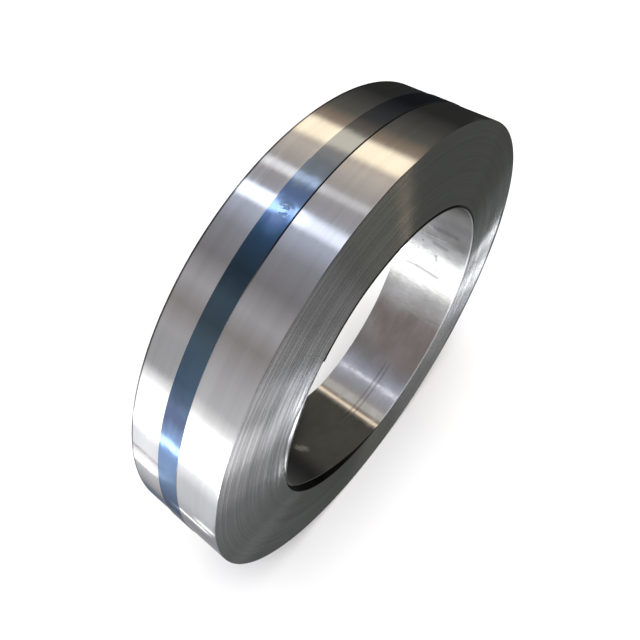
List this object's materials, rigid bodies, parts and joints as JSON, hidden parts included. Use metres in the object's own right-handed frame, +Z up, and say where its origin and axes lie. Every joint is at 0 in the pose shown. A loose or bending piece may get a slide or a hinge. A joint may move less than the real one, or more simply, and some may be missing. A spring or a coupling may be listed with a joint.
{
  "type": "steel coil",
  "caption": "Narrow slit coil of bright steel strip standing on its rim, with a plain mandrel bore and a blued steel strap round it.",
  "frame": {"origin": "middle of the bore, halfway between the ends", "axes": "+Y along the coil's axis, from the end seen first to the other end; +Z up from the floor it stands on"},
  "size_m": [0.7638, 0.146, 0.7638],
  "materials": {
    "bright_steel": "bright rolled strip, dull slit edges on the ends",
    "blued_strap": "blued steel strapping"
  },
  "bodies": {
    "root": {"coil": "bright_steel", "strap": "blued_strap"}
  },
  "joints": []
}
